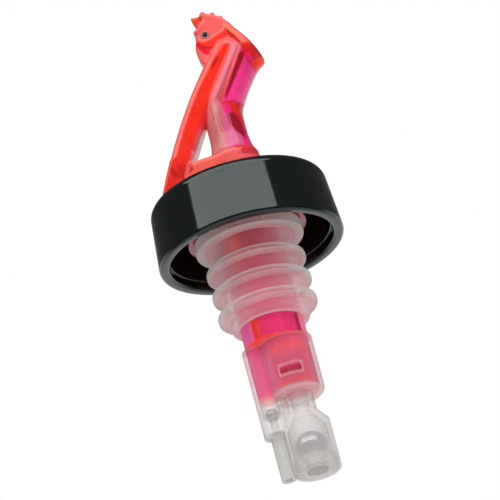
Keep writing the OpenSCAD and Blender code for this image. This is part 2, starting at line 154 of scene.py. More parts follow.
# heights past the knee between which the channel's lower tones pass into the upper ones, and facets that
# the light draws in the red plastic at the knee and at the leg's foot
KNEE_FADE = (-1.0, 1.6)
KNEE_RED = KNEE + [[1.4, 0.4], [6, -0.4], [6, -6.5], [4.0, -6.4], [2.9, -4.0], [1.4, -2.0]]
KNEE_SHADE = KNEE + [[4.2, 0.0], [6, -0.4], [6, -6.5], [4.4, -5.0]]
KNEE_DARK = KNEE + [[1.1, -2.4], [2.6, -2.4], [3.5, -4.2], [4.2, -7.0], [3.7, -9.3], [1.9, -7.3],
                    [1.0, -5.0]]
KNEE_LINE = KNEE + [[0.3, 0.3], [4.0, 0.5], [4.0, 0.1], [0.6, -0.3]]
KNEE_GLOW = KNEE + [[0.4, -0.4], [1.9, -0.5], [2.2, -2.7], [0.6, -2.4]]
FOOT_RED = LEG_FOOT + [[-6, 6], [1.7, 5.9], [2.2, 4.6], [4.5, 3.1], [4.3, 1.1], [1.4, -0.5], [-6, -6]]
FOOT_SHADE = LEG_FOOT + [[1.1, 3.9], [4.5, 2.7], [4.3, 1.1], [1.4, -0.3], [0.6, 1.0]]
FOOT_DARK = LEG_FOOT + [[-0.4, 3.8], [0.5, 2.4], [0.7, 0.2], [-0.4, 0.7], [-0.9, 2.4]]


def arc_middle(a, b, r):
    """Middle of the circle of radius r through a and b, on the right of the way from a to b."""
    d = b - a
    length = np.hypot(*d)
    return (a + b) / 2 + np.array([d[1], -d[0]]) / length * math.sqrt(r * r - length * length / 4)


LEG_MID = arc_middle(LEG_FOOT, LEG_TOP, LEG_BEND_R)


# Colour and material helpers

def rgb(r, g, b):
    """Linear colour of an sRGB triple from 0 to 255."""
    v = np.array([r, g, b]) / 255
    return np.where(v <= 0.04045, v / 12.92, ((v + 0.055) / 1.055) ** 2.4)


def grey(v):
    """A plain number as a colour."""
    return (v, v, v)


def ramp(x, a, b):
    """Smooth step from 0 at a to 1 at b."""
    t = np.clip((x - a) / (b - a), 0, 1)
    return t * t * (3 - 2 * t)


def between(v, a, b, soft):
    """1 between a and b, with soft ends."""
    return ramp(v, a - soft, a + soft) * ramp(v, b + soft, b - soft)


class Nodes:
    """Short ways to add nodes to a tree. An input is a number or another node's output."""

    def __init__(self, owner):
        owner.use_nodes = True
        self.tree = owner.node_tree

    def put(self, value, socket):
        if isinstance(value, bpy.types.NodeSocket):
            self.tree.links.new(value, socket)
        else:
            socket.default_value = value

    def node(self, kind, inputs=None, **settings):
        n = self.tree.nodes.new("ShaderNode" + kind)
        for key, value in settings.items():
            setattr(n, key, value)
        for key, value in (inputs or {}).items():
            self.put(value, n.inputs[key])
        return n

    def math(self, operation, a, b):
        return self.node("Math", {0: a, 1: b}, operation=operation).outputs[0]

    def times(self, a, b):
        return self.math("MULTIPLY", a, b)

    def larger(self, a, b):
        return self.math("MAXIMUM", a, b)

    def parts(self, vector):
        """X, Y and Z of a vector."""
        return self.node("SeparateXYZ", {"Vector": vector}).outputs

    def spread(self, value, low, high, start=0.3, end=0.7, **settings):
        """Low where a value is at start, high where it is at end, and no further outside them."""
        n = self.node("MapRange", {"Value": value, "From Min": start, "From Max": end,
                                   "To Min": low, "To Max": high}, **settings)
        return n.outputs["Result"]


class Shader(Nodes):
    """A Principled material and the nodes that drive it."""

    def __init__(self, name, **sockets):
        self.material = bpy.data.materials.new(name)
        super().__init__(self.material)
        self.bsdf = self.tree.nodes["Principled BSDF"]
        for socket, value in sockets.items():
            self.bsdf.inputs[socket.replace("_", " ")].default_value = value

    def link(self, output, socket):
        self.tree.links.new(output, self.bsdf.inputs[socket])

    def position(self):
        return self.node("TexCoord").outputs["Object"]

    def place(self):
        return self.parts(self.position())

    def normal(self):
        return self.parts(self.node("NewGeometry").outputs["Normal"])

    def step(self, value, a, b):
        """0 where a place is at a, 1 where it is at b, in millimetres."""
        return self.spread(value, 0, 1, a * MM, b * MM)

    def noise(self, scale, detail, rough=0.5, vector=None):
        n = self.node("TexNoise", {"Scale": scale, "Detail": detail, "Roughness": rough})
        self.tree.links.new(vector or self.position(), n.inputs["Vector"])
        return n.outputs["Fac"]

    def mix(self, factor, a, b, blend="MIX"):
        n = self.node("Mix", data_type="RGBA", blend_type=blend)
        for key, value in (("Factor", factor), ("A", a), ("B", b)):
            socket = next(s for s in n.inputs if s.name == key and s.enabled)
            plain = key == "Factor" or isinstance(value, bpy.types.NodeSocket)
            self.put(value if plain else (*value, 1), socket)
        return next(s for s in n.outputs if s.enabled)

    def bump(self, height, distance, strength):
        n = self.node("Bump", {"Height": height, "Distance": distance, "Strength": strength})
        self.link(n.outputs["Normal"], "Normal")


# Mesh helpers

def finish_mesh(name, mesh, material, body, nodes, sharp=35):
    """Shades a mesh smooth but for edges sharper than an angle, and puts it on a body."""
    bm = bmesh.new()
    bm.from_mesh(mesh)
    bmesh.ops.remove_doubles(bm, verts=bm.verts, dist=1e-6)
    bmesh.ops.recalc_face_normals(bm, faces=bm.faces)
    limit = math.radians(sharp)
    for face in bm.faces:
        face.smooth = True
    for edge in bm.edges:
        edge.smooth = len(edge.link_faces) == 2 and edge.calc_face_angle(0) < limit
    bm.to_mesh(mesh)
    bm.free()
    mesh.materials.clear()
    mesh.materials.append(material)
    piece = bpy.data.objects.new(name, mesh)
    scene.collection.objects.link(piece)
    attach(piece, body)
    if nodes:
        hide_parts(*nodes)
    return piece


def supported(profile, margin=0.12):
    """The closed profile with a point near each end of its long stretches, so that flat walls shade flat."""
    made = []
    profile = np.array(profile)
    for a, b in zip(profile, np.roll(profile, -1, axis=0)):
        made.append(a)
        length = np.hypot(*(b - a))
        if length > 5 * margin:
            made += [a + (b - a) * margin / length, b - (b - a) * margin / length]
    return np.array(made)


def lathe(name, profile, material, node, segments=180):
    """A closed profile of radius and height, in millimetres, turned about the upright axis."""
    profile = supported(profile)
    count = len(profile)
    turn = np.linspace(0, 2 * math.pi, segments, endpoint=False)
    points = np.stack([
        np.cos(turn)[:, None] * profile[:, 0],
        np.sin(turn)[:, None] * profile[:, 0],
        np.broadcast_to(profile[:, 1], (segments, count))], axis=-1).reshape(-1, 3) * MM
    faces = []
    for i in range(segments):
        j = (i + 1) % segments
        for k in range(count):
            m = (k + 1) % count
            faces.append((i * count + k, j * count + k, j * count + m, i * count + m))
    mesh = bpy.data.meshes.new(name)
    mesh.from_pydata(points, [], faces)
    finish_mesh(name, mesh, material, "pourer", [node])


def arc(middle, r, a, b, n):
    """The ends of n stretches of an arc from angle a to angle b in degrees."""
    t = np.radians(np.linspace(a, b, n + 1))
    return [(middle[0] + r * math.cos(v), middle[1] + r * math.sin(v)) for v in t]


def copied(name, node, material, body, sharp=35):
    """A smooth-shaded copy of a node's shape that stands for the node."""
    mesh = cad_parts[node].data.copy()
    finish_mesh(name, mesh, material, body, [node], sharp)


# Distance fields, in millimetres, below 0 inside

def smooth_min(a, b, k):
    h = np.maximum(k - np.abs(a - b), 0) / k
    return np.minimum(a, b) - h * h * k / 4


def smooth_max(a, b, k):
    return -smooth_min(-a, -b, k)


def disc(x, z, middle, r):
    """Distance from a disc."""
    return np.hypot(x - middle[0], z - middle[1]) - r


def pear(u, v, r0, r1, h):
    """Distance from two circles, r0 at 0 and r1 at h along u, and the sides that touch both."""
    v = np.abs(v)
    b = (r0 - r1) / h
    a = math.sqrt(1 - b * b)
    k = u * a - v * b
    return np.where(k < 0, np.hypot(u, v) - r0,
                    np.where(k > a * h, np.hypot(u - h, v) - r1, v * a + u * b - r0))


def slab(flat, w, half, edge):
    """A flat outline given half a thickness along w, its edges rounded."""
    p = flat + edge
    q = np.abs(w) - half + edge
    return np.hypot(np.maximum(p, 0), np.maximum(q, 0)) + np.minimum(np.maximum(p, q), 0) - edge


def polygon(u, v, corners):
    """Distance from a polygon."""
    corners = np.array(corners)
    best = np.full(np.shape(u), FAR)
    inside = np.zeros(np.shape(u), bool)
    for a, b in zip(corners, np.roll(corners, -1, axis=0)):
        e = b - a
        wu, wv = u - a[0], v - a[1]
        t = np.clip((wu * e[0] + wv * e[1]) / (e @ e), 0, 1)
        best = np.minimum(best, (wu - t * e[0]) ** 2 + (wv - t * e[1]) ** 2)
        crosses = (a[1] > v) != (b[1] > v)
        if e[1]:
            inside ^= crosses & (u < a[0] + (v - a[1]) * e[0] / e[1])
    return np.sqrt(best) * np.where(inside, -1, 1)


# Places on the upper moulding

def turned(x, z, origin, way):
    """Distance along a direction from an origin, and across it to its right."""
    dx, dz = x - origin[0], z - origin[1]
    return dx * way[0] + dz * way[1], dx * way[1] - dz * way[0]


def channel_line(x, z):
    """Distance from the channel's middle line: up, round the knee, and on past the mouth."""
    below_spigot, past_bend = 9, 30
    reach = BEND_R * math.tan(LEAN / 2)
    low, high = KNEE - [0, reach], KNEE + reach * SPOUT_DIR
    past_end = np.minimum(z - SPIGOT_BOTTOM + below_spigot, 0) + np.maximum(z - low[1], 0)
    straight = np.hypot(x - KNEE[0], past_end)
    along, side = turned(x, z, high, SPOUT_DIR)
    leaning = np.hypot(side, np.minimum(along, 0) + np.maximum(along - past_bend, 0))
    middle = low + [BEND_R, 0]
    turn = np.arctan2(z - middle[1], middle[0] - x)
    bend = np.where((turn >= 0) & (turn <= LEAN), np.abs(disc(x, z, middle, BEND_R)), FAR)
    return np.minimum(np.minimum(straight, leaning), bend)


def upper_channel_place(x, z):
    """Distance along the leaning channel from the knee, and across it towards the lip."""
    return turned(x, z, KNEE, SPOUT_DIR)


def mouth_place(x, z):
    """Distance along the mouth towards the lip, and out of the mouth."""
    along, inward = turned(x, z, MOUTH, MOUTH_DOWN)
    return along, -inward


def leg_place(x, z):
    """Distance outward from the leg's middle line."""
    return disc(x, z, LEG_MID, LEG_BEND_R)


def near_arch(z):
    """0 on the leg's plain strip, 1 at its round top end."""
    return ramp(z, ARCH[1] - 8, ARCH[1] - 1)


def front_place(x, z):
    """Distance outward from the middle of the leg's front, which turns towards the channel near its top."""
    return leg_place(x, z) + ARCH_SHIFT * near_arch(z)


def beyond_arch(x, z):
    """Distance along the leg past the middle of its round top end."""
    end = math.atan2(ARCH[1] - LEG_MID[1], ARCH[0] - LEG_MID[0])
    return (end - np.arctan2(z - LEG_MID[1], x - LEG_MID[0])) * LEG_BEND_R


def leg_front(x, z):
    """Distance from the outline of the leg's front, a strip that widens to a round top end."""
    half = LEG_W / 2 + ARCH_WIDER * near_arch(z)
    return np.hypot(front_place(x, z), np.maximum(beyond_arch(x, z), 0)) - half


def hackle_place(x, z):
    """Distance below three feather edges of the head: the red feathers' upper and lower, and the ruff's."""
    def low_side(at, rate):
        return rate * np.maximum(at - x, 0) ** 2

    # each edge: its height, its rise to the left of one place and to the right of another
    wave = 0.1 * np.sin(2.9 * x + 0.8)
    top = 52.45 + low_side(2.0, 0.385) + 0.36 * np.maximum(x - 2.6, 0) - z
    first = 50.45 + low_side(2.9, 0.273) + 0.62 * np.maximum(x - 3.9, 0) + wave - z
    second = 49.2 + low_side(2.6, 0.36) + 0.1 * np.maximum(x - 2.6, 0) ** 2 + wave - z
    return top, first, second


# Forms of the upper moulding

def channel_form(x, y, z):
    """The channel, flared where it stands on the saddle, its lip side a little waisted above the knee."""
    height, across = upper_channel_place(x, z)
    flare = FLARE * np.clip((FLARE_TOP - z) / FLARE_H, 0, 1) ** 2
    waist = WAIST * ramp(height, 1, 7) * ramp(height, 16, 10) * ramp(across, 0, 3.5)
    return np.maximum(np.hypot(channel_line(x, z), y) - CHANNEL_R + waist - flare, COLLAR_TOP + 0.5 - z)


def leg_form(x, y, z):
    """The air leg: a thick front strip on a thinner web, with a thicker foot of sharper edges."""
    swell = LEG_SWELL * ramp(z, LEG_FOOT[1] + 14, LEG_FOOT[1] - 2)
    edge = LEG_EDGE - (LEG_EDGE - FOOT_EDGE) * ramp(z, LEG_FOOT[1] + 6.4, LEG_FOOT[1] + 5.4)
    front = slab(leg_front(x, z), y, LEG_T / 2 + swell, edge)
    web = slab(np.abs(leg_place(x, z)) - LEG_W / 2, y, HEAD_T / 2 - 0.1, 0.7)
    return np.maximum(smooth_min(front, web, 0.3), np.maximum(COLLAR_TOP - z, LEG_LEFT - x))


def saddle_form(x, y, z):
    """The saddle, a pear seen from above, which ends just inside the leg."""
    flat = pear(LIQUOR_X - x, y, SADDLE_R, SADDLE_TAIL_R, LIQUOR_X - SADDLE_LEFT - SADDLE_TAIL_R)
    middle = (COLLAR_TOP + SADDLE_TOP) / 2
    saddle = np.maximum(slab(flat, z - middle, SADDLE_TOP - middle, SADDLE_EDGE), COLLAR_TOP - z)
    return smooth_max(saddle, leg_place(x, z) - SADDLE_END, 0.6)


def rim_form(x, y, z):
    """The flat rim round the mouth, thinner at its top, with a thicker lip."""
    along, out = mouth_place(x, z)
    flat = pear(LIP_REACH - along, y, RIM_R, RIM_TOP_R, RIM_TOP_STEP + LIP_REACH)
    half = (RIM_T - RIM_THINNING * ramp(along, 3, -3) + LIP_BULGE * ramp(along, 1.5, 4.5)) / 2
    return slab(flat, out + half, half, RIM_EDGE)


def head_form(x, y, z):
    """The head: skull, ruff and wattle, bumpy crest and neck, its thickness stepped at the feather edges."""
    half = HEAD_T / 2
    for below, step in zip(hackle_place(x, z), HACKLE_STEPS):
        half = half + step * ramp(below, -0.2, 0.2)
    flat = disc(x, z, SKULL, HEAD_R)
    for middle, r in ((RUFF, RUFF_R), (LOW_RUFF, LOW_RUFF_R), (WATTLE, WATTLE_R)):
        flat = smooth_min(flat, disc(x, z, middle, r), 0.4)
    crest = polygon(x, z, CREST)
    for middle in CREST_BUMPS:
        crest = smooth_min(crest, disc(x, z, middle, BUMP_R), 0.3)
    flat = smooth_min(smooth_min(flat, crest, 0.5), polygon(x, z, NECK), 0.3)
    return slab(flat, y * (HEAD_T / 2) / half, HEAD_T / 2, HEAD_EDGE)


def beak_form(x, y, z):
    """The beak, thinner towards its tip."""
    thickness = BEAK_TIP_T + (BEAK_T - BEAK_TIP_T) * ramp(x, BEAK_TIP[0] - 0.3, BEAK_TIP[0] + 3.0)
    return slab(polygon(x, z, BEAK), y * BEAK_T / thickness, BEAK_T / 2, BEAK_EDGE)


def spout_forms(x, y, z):
    """Distance from each form, before they are joined; the mouth's plane cuts the channel and the leg."""
    out = mouth_place(x, z)[1]
    return {"channel": np.maximum(channel_form(x, y, z), out), "leg": np.maximum(leg_form(x, y, z), out),
            "saddle": saddle_form(x, y, z), "rim": rim_form(x, y, z),
            "head": head_form(x, y, z), "beak": beak_form(x, y, z)}


def spigot_form(x, y, z):
    """The round plug under the saddle that goes into the stem."""
    top = COLLAR_TOP + 1
    middle, half = (SPIGOT_BOTTOM + top) / 2, (top - SPIGOT_BOTTOM) / 2
    return slab(np.hypot(x - LIQUOR_X, y) - SPIGOT_R, z - middle, half, 0.3)


def groove_form(x, y, z):
    """The air's groove under the saddle, from the leg to the vent."""
    along = np.abs(x - (GROOVE_LEFT + GROOVE_RIGHT) / 2) - (GROOVE_RIGHT - GROOVE_LEFT) / 2
    return np.maximum(along, np.maximum(np.abs(y) - GROOVE_W / 2, z - COLLAR_TOP - GROOVE_H))


def eye_sockets(x, y, z):
    """Hollows for the eyes on both sides of the head."""
    depth = np.abs(y) - HEAD_T / 2 + EYE_SINK
    return np.sqrt((x - EYE[0]) ** 2 + depth ** 2 + (z - EYE[1]) ** 2) - EYE_R - EYE_GAP


def spout_field(x, y, z):
    """Distance from the whole moulding: the forms joined, the passages, groove and eye sockets cut out."""
    forms = spout_forms(x, y, z)
    d = smooth_min(forms["channel"], forms["saddle"], 1.6)
    d = smooth_min(d, forms["rim"], 0.5)
    d = smooth_min(d, smooth_min(forms["leg"], forms["saddle"], 0.6), 0.5)
    d = smooth_min(d, forms["head"], 0.3)
    d = smooth_min(d, forms["beak"], 0.35)
    d = np.minimum(d, spigot_form(x, y, z))
    d = smooth_max(d, CHANNEL_BORE_R - np.hypot(channel_line(x, z), y), 0.4)
    air = np.maximum(np.hypot(leg_place(x, z), y) - LEG_BORE_R, COLLAR_TOP + 2 - z)
    d = smooth_max(d, -air, 0.3)
    d = np.maximum(d, -groove_form(x, y, z))
    return np.maximum(d, -eye_sockets(x, y, z))


def spout_mesh(step=0.24, outside=9.0):
    """The moulding's surface, its vertices in millimetres, from a grid of distances."""
    low, high = spout_low - 3 * step, spout_high + 3 * step
    axes = [np.arange(a, b, step) for a, b in zip(low, high)]
    x, y, z = np.meshgrid(*axes, indexing="ij")
    grid = openvdb.FloatGrid(outside)
    grid.copyFromArray(spout_field(x, y, z).astype(np.float32))
    points, quads = grid.convertToQuads(isovalue=0.0)
    return points.astype(float) * step + low, quads


# Paint of the upper moulding: painted light, shade and highlights, the tones that the light in its red
# plastic shows

class Paint:
    """Colour and clearness of the moulding at each point, laid on in layers."""

    def __init__(self, points):
        self.x, self.y, self.z = points.T
        self.forms = spout_forms(self.x, self.y, self.z)
        self.near = {name: ramp(d, 0.6, 0.15) for name, d in self.forms.items()}
        self.leg = self.near["leg"] * ramp(self.forms["channel"], -0.9, 0.1)
        self.colour = np.tile(rgb(238, 62, 60), (len(points), 1))
        self.clear = np.full(len(points), 0.3)

    def lay(self, mask, tone, clear=None):
        """Lays a tone, and a clearness where one is given, as far as the mask says."""
        self.colour = self.colour * (1 - mask[:, None]) + mask[:, None] * rgb(*tone)
        if clear is not None:
            self.clear = self.clear * (1 - mask) + mask * clear

    def zone(self, corners, soft):
        """1 inside an outline seen from the side, with a soft edge."""
        return ramp(polygon(self.x, self.z, corners), soft, -soft)


def paint_upper_channel(p):
    """Above the knee, painted light and shade: pale left wall, two dark stripes of painted shade with a
    painted light line between, bright pink.
    """
    height, across = upper_channel_place(p.x, p.z)
    upper = p.near["channel"] * ramp(height, *KNEE_FADE)
    skew = across + 0.08 * (height - 8)
    p.lay(upper, (246, 60, 142), 0.18)
    p.lay(upper * ramp(height, 8.5, 13), (220, 50, 130))
    p.lay(upper * ramp(across, 2.6, 3.8), (243, 92, 156))
    p.lay(upper * ramp(across, 1.15, 0.75) * between(height, 2, 14.5, 1.0), (152, 16, 34))
    p.lay(upper * ramp(skew, 0.05, -0.35), (228, 70, 84))
    p.lay(upper * ramp(skew, -0.6, -0.95), (176, 28, 58))
    wall = upper * np.where(beyond_arch(p.x, p.z) > 0, ramp(leg_front(p.x, p.z), 0.4, 0.0), 1)
    p.lay(wall * ramp(across, -1.45, -1.8), (214, 96, 112))
    p.lay(wall * ramp(across, -2.2, -2.7), (240, 114, 140))
    p.lay(upper * ramp(across, -3.3, -3.7), (224, 60, 66))


def paint_lower_channel(p):
    """Below the knee: salmon left wall with grey streaks, lilac front, red and dark facets at the knee;
    salmon, lilac and the facets are painted light and shade.
    """
    channel, side = p.near["channel"], p.x - LIQUOR_X
    lower = channel * ramp(upper_channel_place(p.x, p.z)[0], *reversed(KNEE_FADE))
    p.lay(lower, (214, 92, 138), 0.2)
    p.lay(lower * ramp(side, 2.6, 3.4) * ramp(p.z, 29, 26), (230, 42, 122))
    p.lay(lower * ramp(side, -0.5, -1.0), (208, 118, 116))
    streak_w = 0.45
    for left, top, low in ((-2.4, 37, 31.5), (-2.4, 29.5, 24.5), (-0.7, 36, 29)):
        streak = between(side, left, left + streak_w, 0.2) * between(p.z, low, top, 0.6)
        p.lay(channel * streak, (184, 112, 104))
    for facet, soft, tone in ((KNEE_RED, 0.35, (226, 44, 40)), (KNEE_SHADE, 0.6, (200, 26, 34)),
                              (KNEE_DARK, 0.35, (158, 22, 42)), (KNEE_LINE, 0.25, (212, 30, 64)),
                              (KNEE_GLOW, 0.35, (234, 46, 126))):
        p.lay(channel * p.zone(facet, soft), tone)


def paint_saddle(p):
    """Painted light and shade: salmon, also where the channel enters it, redder along its right end and its
    upper edge.
    """
    salmon = (243, 102, 88)
    saddle, channel = p.near["saddle"], p.near["channel"]
    p.lay(saddle, salmon, 0.2)
    base = channel * ramp(p.z, SADDLE_TOP + 0.2, SADDLE_TOP - 0.4)
    p.lay(base, salmon)
    base = np.maximum(saddle, base)
    p.lay(base * ramp(p.x, 2.6, 3.8) * ramp(p.z, SADDLE_TOP - 2.4, SADDLE_TOP - 1.8), (202, 32, 40))
    seam = np.maximum(saddle, channel) * between(p.z, SADDLE_TOP - 0.5, SADDLE_TOP + 0.4, 0.35)
    p.lay(seam * ramp(np.abs(p.x - LIQUOR_X - 1), 6.2, 5.0), (222, 84, 88))
    p.lay(seam * ramp(p.x, 1.6, 3.0), (226, 44, 60))


def paint_leg(p):
    """Painted light and shade: an orange-red strip where the bore shows through, with pale painted light
    along its edge that goes round the top; a pink inner side near the foot.
    """
    leg, z, outward = p.leg, p.z, leg_place(p.x, p.z)
    left = 1.35 - 0.45 * ramp(z, 38, 46) - 0.6 * ramp(z, 46, 50.5)
    right = -2.15 + 0.4 * ramp(z, 44, 48) + 0.8 * ramp(z, 48, 50.2)
    inner = ramp(outward, right + 0.1, right - 0.2)
    p.lay(leg, (234, 88, 80), 0.1)
    p.lay(leg * inner, (238, 98, 112))
    p.lay(leg * inner * ramp(z, 37, 34), (226, 38, 50))
    strip = leg * ramp(outward, right - 0.2, right + 0.2) * ramp(outward, left + 0.2, left - 0.2)
    p.lay(strip * ramp(z, 50.4, 49.7), (230, 45, 30))
    p.lay(strip * ramp(outward, right + 0.7, right + 0.1) * ramp(z, 50.2, 49.5), (214, 32, 36))
    p.lay(strip * ramp(np.hypot((outward - 0.35) / 0.5, (z - 46.2) / 1.5), 1.3, 0.6), (192, 28, 26))
    p.lay(leg * ramp(outward, -1.5, -2.2) * between(z, 22, 31, 1.5), (222, 84, 98))
    p.lay(leg * ramp(outward, -2.4, -2.65) * between(z, 22, 30, 1.0), (196, 156, 156))
    p.lay(leg * ramp(outward, 2.45, 2.65) * ramp(np.abs(p.y), 2.3, 1.6), (222, 64, 54))


def paint_foot(p):
    """The leg's foot and the saddle beside it: red, with two facets of painted shade and painted shade on its
    back.
    """
    foot = np.maximum(p.leg, p.near["saddle"])
    for facet, soft, tone in ((FOOT_RED, 0.3, (224, 44, 38)), (FOOT_SHADE, 0.25, (204, 34, 36)),
                              (FOOT_DARK, 0.25, (184, 32, 32))):
        p.lay(foot * p.zone(facet, soft), tone)
    back = ramp(leg_place(p.x, p.z), 2.3, 2.6) * ramp(p.z, LEG_FOOT[1] + 6, LEG_FOOT[1] + 5)
    p.lay(foot * back, (196, 38, 36))


def paint_rim(p):
    """The mouth's rim, in painted light and shade: orange-red, painted shade along the outer edge, redder
    with a crimson spot near the lip, and a bright painted lip end.
    """
    along, out = mouth_place(p.x, p.z)
    rim = p.near["rim"]
    p.lay(rim, (240, 92, 68), 0.08)
    p.lay(rim * ramp(along, -1.0, 1.5), (206, 36, 32))
    lip = np.maximum(rim, p.near["channel"]) * ramp(along, 0.0, 1.0)
    depth = 2.5 + 1.1 * ramp(along, 0, 4.5)
    p.lay(lip * between(out, -depth, -1.3, 0.2), (206, 30, 38))
    p.lay(lip * ramp(np.hypot((along - 3.9) / 1.3, (out + 2.6) / 0.65), 1.15, 0.8), (228, 36, 88))
    p.lay(rim * ramp(out, -1.35, -1.6) * ramp(along, 0.5, -0.5), (216, 40, 42))
    p.lay(lip * ramp(along, 4.6, 5.2) * ramp(out, -3.7, -3.3), (255, 62, 36))
    edge = -0.15 - 0.05 * np.clip(along + 0.8, 0, 5)
    p.lay(rim * ramp(out, edge - 0.2, edge + 0.15), (164, 42, 42))


def paint_head(p):
    """Painted light and shade of the one red plastic: salmon relief with red feather edges, a painted dark
    line along the leg's front, and an orange beak.
    """
    head = p.near["head"] * ramp(p.forms["leg"], 0.0, 0.25) * ramp(p.forms["rim"], 0.0, 0.25)
    top, first, second = hackle_place(p.x, p.z)
    p.lay(head, (230, 94, 89), 0.1)
    p.lay(head * ramp(disc(p.x, p.z, SKULL, 0), 3.6, 5.2), (226, 88, 82))
    p.lay(head * ramp(top, -0.15, 0.15), (245, 50, 38))
    p.lay(head * between(first, -0.25, 0.05, 0.12), (208, 26, 34))
    p.lay(head * ramp(first, 0.05, 0.25), (234, 30, 52))
    p.lay(head * ramp(second, 0.0, 0.2), (224, 92, 92))
    p.lay(head * ramp(disc(p.x, p.z, WATTLE + [0, 0.3], 0), 1.6, 0.9), (226, 74, 92))
    p.lay(head * between(leg_front(p.x, p.z), 0.1, 0.35, 0.15), (206, 52, 50))
    beak = p.near["beak"]
    p.lay(beak * ramp(p.forms["head"], -0.15, 0.1), (226, 58, 28), 0.06)
    p.lay(beak * ramp(disc(p.x, p.z, BEAK_TIP, 0), 1.4, 0.5), (206, 116, 44))


def paint_spout(points):
    """Linear colour and clearness at each point, given in millimetres."""
    p = Paint(points)
    for layer in (paint_upper_channel, paint_lower_channel, paint_saddle, paint_leg, paint_foot,
                  paint_rim, paint_head):
        layer(p)
    return np.column_stack([p.colour, p.clear])


# Materials

def haze(s, straight, slanted, start=0.0, end=0.9):
    """How much of a milky wall shows before what is behind it: more where the wall is seen at a slant."""
    facing = s.node("LayerWeight", {"Blend": 0.4}).outputs["Facing"]
    return s.spread(facing, straight, slanted, start, end)


def axis_distance(s, x=0.0):
    """Distance from the upright axis at x in millimetres, the stopper's unless another is given."""
    shifted = s.node("VectorMath", {0: s.position(), 1: (x * MM, 0, 0)}, operation="SUBTRACT")
    place = s.parts(shifted.outputs["Vector"])
    flat = s.node("CombineXYZ", {"X": place["X"], "Y": place["Y"]}).outputs["Vector"]
    return s.node("VectorMath", {0: flat}, operation="LENGTH").outputs["Value"]


def bands(s, along, tone, *changes):
    """A tone that changes along a place. Each change: where it starts, where it is full, and the new tone."""
    tone = rgb(*tone)
    for start, full, new in changes:
        tone = s.mix(s.step(along, start, full), tone, rgb(*new))
    return tone


def red_plastic():
    """Slightly mottled and rippled plastic in the painted tones of light and shade, with a faint painted
    glow, as clear as the paint says.
    """
    s = Shader("red_plastic", IOR=1.49, Specular_IOR_Level=0.3, Emission_Strength=0.1)
    paint = s.node("VertexColor", layer_name="paint")
    mottle = s.spread(s.noise(420, 4), 0.93, 1.05)
    colour = s.mix(1.0, paint.outputs["Color"], mottle, "MULTIPLY")
    s.link(colour, "Base Color")
    s.link(colour, "Emission Color")
    s.link(paint.outputs["Alpha"], "Transmission Weight")
    s.link(s.spread(s.noise(900, 2), 0.05, 0.1), "Roughness")
    s.bump(s.noise(260, 2), 0.00003, 0.5)
    return s.material


def pink_plastic():
    """The lower moulding's plastic: opaque down to the chamber, hazy inside it, with a faint painted glow in
    its tones.
    """
    s = Shader("pink_plastic", IOR=1.45, Specular_IOR_Level=0.6, Emission_Strength=0.3)
    place = s.place()
    x, z = place["X"], place["Z"]
    # stem below the stopper: stripes from left to right, painted light of the clear plastic, with painted
    # shade and then a painted pale edge at the right
    tone = bands(s, x, (208, 78, 136), (-4.9, -4.5, (204, 46, 42)), (-2.9, -2.3, (198, 44, 94)),
                 (5.4, 5.8, (150, 26, 64)), (6.2, 6.7, (222, 104, 134)))
    # stem inside the stopper: dusky red, darker towards the top as painted shade under the collar, with a
    # painted orange glow high on the left; the disc above is darker, painted shade inside the collar
    inside = bands(s, z, (196, 46, 90), (-17, -4, (164, 24, 56)))
    glow = s.times(s.times(s.step(x, -6.5, -4.5), s.step(x, -1.2, -3.0)), s.step(z, -9, -4))
    inside = s.mix(glow, inside, rgb(196, 48, 38))
    tone = s.mix(s.step(z, -21.4, -20.8), tone, inside)
    tone = s.mix(s.step(z, 2.3, 2.8), tone, rgb(120, 26, 40))
    # ball tube: painted light: an orange band near its top, pink below, a painted orange glow at its end
    tube = bands(s, z, (222, 44, 104), (-27.4, -27.9, (230, 46, 56)), (-29.4, -30.6, (208, 26, 92)),
                 (-36.6, -37.8, (228, 56, 60)))
    # vent stub: purple-pink with a painted orange glow at its end
    stub = bands(s, z, (224, 60, 142), (-38.0, -39.2, (240, 110, 96)))
    below = s.step(z, -26.3, -26.6)
    tone = s.mix(below, tone, s.mix(s.step(x, -1.8, -2.4), tube, stub))
    # painted orange light on the underside of the stem round the ball tube
    under = s.times(s.spread(s.normal()["Z"], 0, 1, -0.3, -0.8),
                    s.times(s.step(z, -20.0, -22.0), s.step(z, -26.9, -26.5)))
    tone = s.mix(under, tone, rgb(236, 74, 48))
    tone = s.mix(1.0, tone, s.spread(s.noise(300, 3), 0.92, 1.06), "MULTIPLY")
    s.link(tone, "Base Color")
    # painted pale glow in the ball tube's bore
    bore = s.times(below, s.step(axis_distance(s, LIQUOR_X), 4.5, 4.3))
    s.link(s.mix(bore, tone, rgb(255, 150, 176)), "Emission Color")
    s.link(s.mix(below, grey(1), haze(s, 0.5, 0.95)), "Alpha")
    s.link(s.spread(s.noise(900, 2), 0.05, 0.12), "Roughness")
    return s.material


def black_plastic():
    """Polished black, browner inside the cup as painted reddish light from the pink parts inside it."""
    s = Shader("black_plastic", Specular_IOR_Level=0.5, Specular_Tint=(0.88, 1, 1, 1))
    outside = s.mix(s.noise(120, 4), rgb(10, 13, 12), rgb(20, 24, 23))
    inside = s.mix(s.noise(120, 4), rgb(26, 15, 13), rgb(38, 24, 20))
    wall = s.step(axis_distance(s), 19.0, 19.8)
    top = s.step(s.place()["Z"], COLLAR_TOP - 1.6, COLLAR_TOP - 1.0)
    s.link(s.mix(s.larger(wall, top), inside, outside), "Base Color")
    s.link(s.spread(s.noise(700, 4, 0.6), 0.05, 0.11), "Roughness")
    s.bump(s.noise(1500, 2), 0.000008, 0.4)
    return s.material


